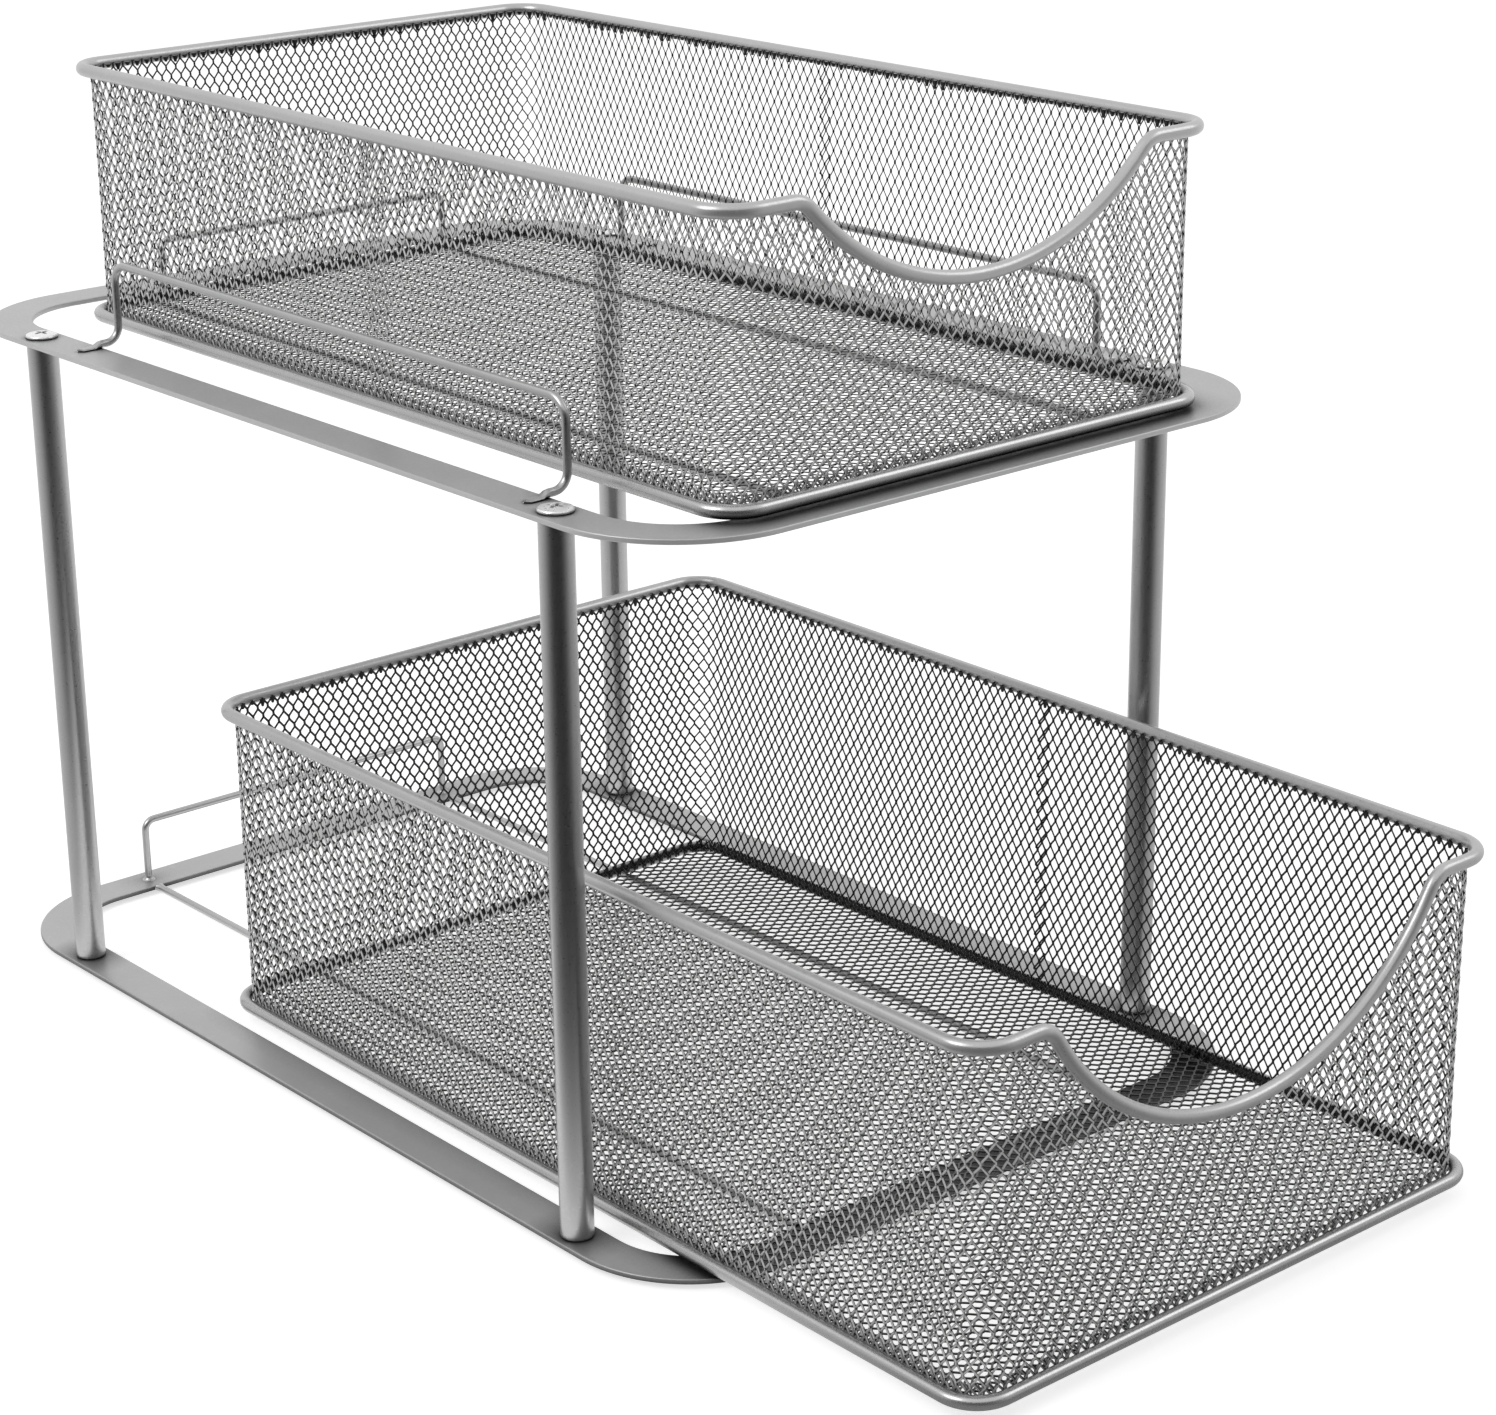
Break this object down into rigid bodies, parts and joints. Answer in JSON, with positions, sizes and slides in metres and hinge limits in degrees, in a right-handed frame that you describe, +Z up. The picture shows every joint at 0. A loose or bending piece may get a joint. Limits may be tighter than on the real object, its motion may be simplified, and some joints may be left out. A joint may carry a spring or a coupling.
{
  "type": "pull out cabinet basket",
  "caption": "Free-standing wire frame with expanded-metal mesh baskets, one over the other, that slide out to the front, each with a scooped front rim.",
  "frame": {"origin": "middle of the box round the whole object in the rest pose, on the plane that the feet stand on", "axes": "+X to the object's right as seen from its front, +Y from front to back, +Z up; the baskets pull out towards -Y"},
  "size_m": [0.296, 0.5686, 0.3659],
  "materials": {
    "frame_coat": "smooth silver-grey powder coat",
    "wire_coat": "smooth silver-grey powder coat",
    "mesh_coat": "silver-grey powder coat on expanded metal",
    "screw_steel": "bright zinc plate",
    "plug_steel": "plain turned steel"
  },
  "bodies": {
    "stand": {"lower_ring": "frame_coat", "upper_ring": "frame_coat", "post_front_left": "frame_coat", "post_front_right": "frame_coat", "post_rear_left": "frame_coat", "post_rear_right": "frame_coat", "top_screws": "screw_steel", "bottom_screws": "screw_steel", "top_inserts": "plug_steel", "bottom_inserts": "plug_steel", "upper_guard_left": "wire_coat", "upper_guard_right": "wire_coat", "upper_guard_back": "wire_coat", "lower_guard_back": "wire_coat", "upper_rail_left": "wire_coat", "upper_rail_right": "wire_coat", "lower_rail_left": "wire_coat", "lower_rail_right": "wire_coat"},
    "upper_basket": {"upper_rim": "wire_coat", "upper_base_frame": "wire_coat", "upper_mesh_floor": "mesh_coat", "upper_mesh_left": "mesh_coat", "upper_mesh_right": "mesh_coat", "upper_mesh_back": "mesh_coat", "upper_mesh_front": "mesh_coat"},
    "lower_basket": {"lower_rim": "wire_coat", "lower_base_frame": "wire_coat", "lower_mesh_floor": "mesh_coat", "lower_mesh_left": "mesh_coat", "lower_mesh_right": "mesh_coat", "lower_mesh_back": "mesh_coat", "lower_mesh_front": "mesh_coat"}
  },
  "joints": [
    {"name": "upper_basket_slide", "type": "slide", "parent": "stand", "child": "upper_basket", "axis": [0, -1, 0], "range_m": [-0.005, 0.175]},
    {"name": "lower_basket_slide", "type": "slide", "parent": "stand", "child": "lower_basket", "axis": [0, -1, 0], "range_m": [-0.131, 0.069]}
  ]
}
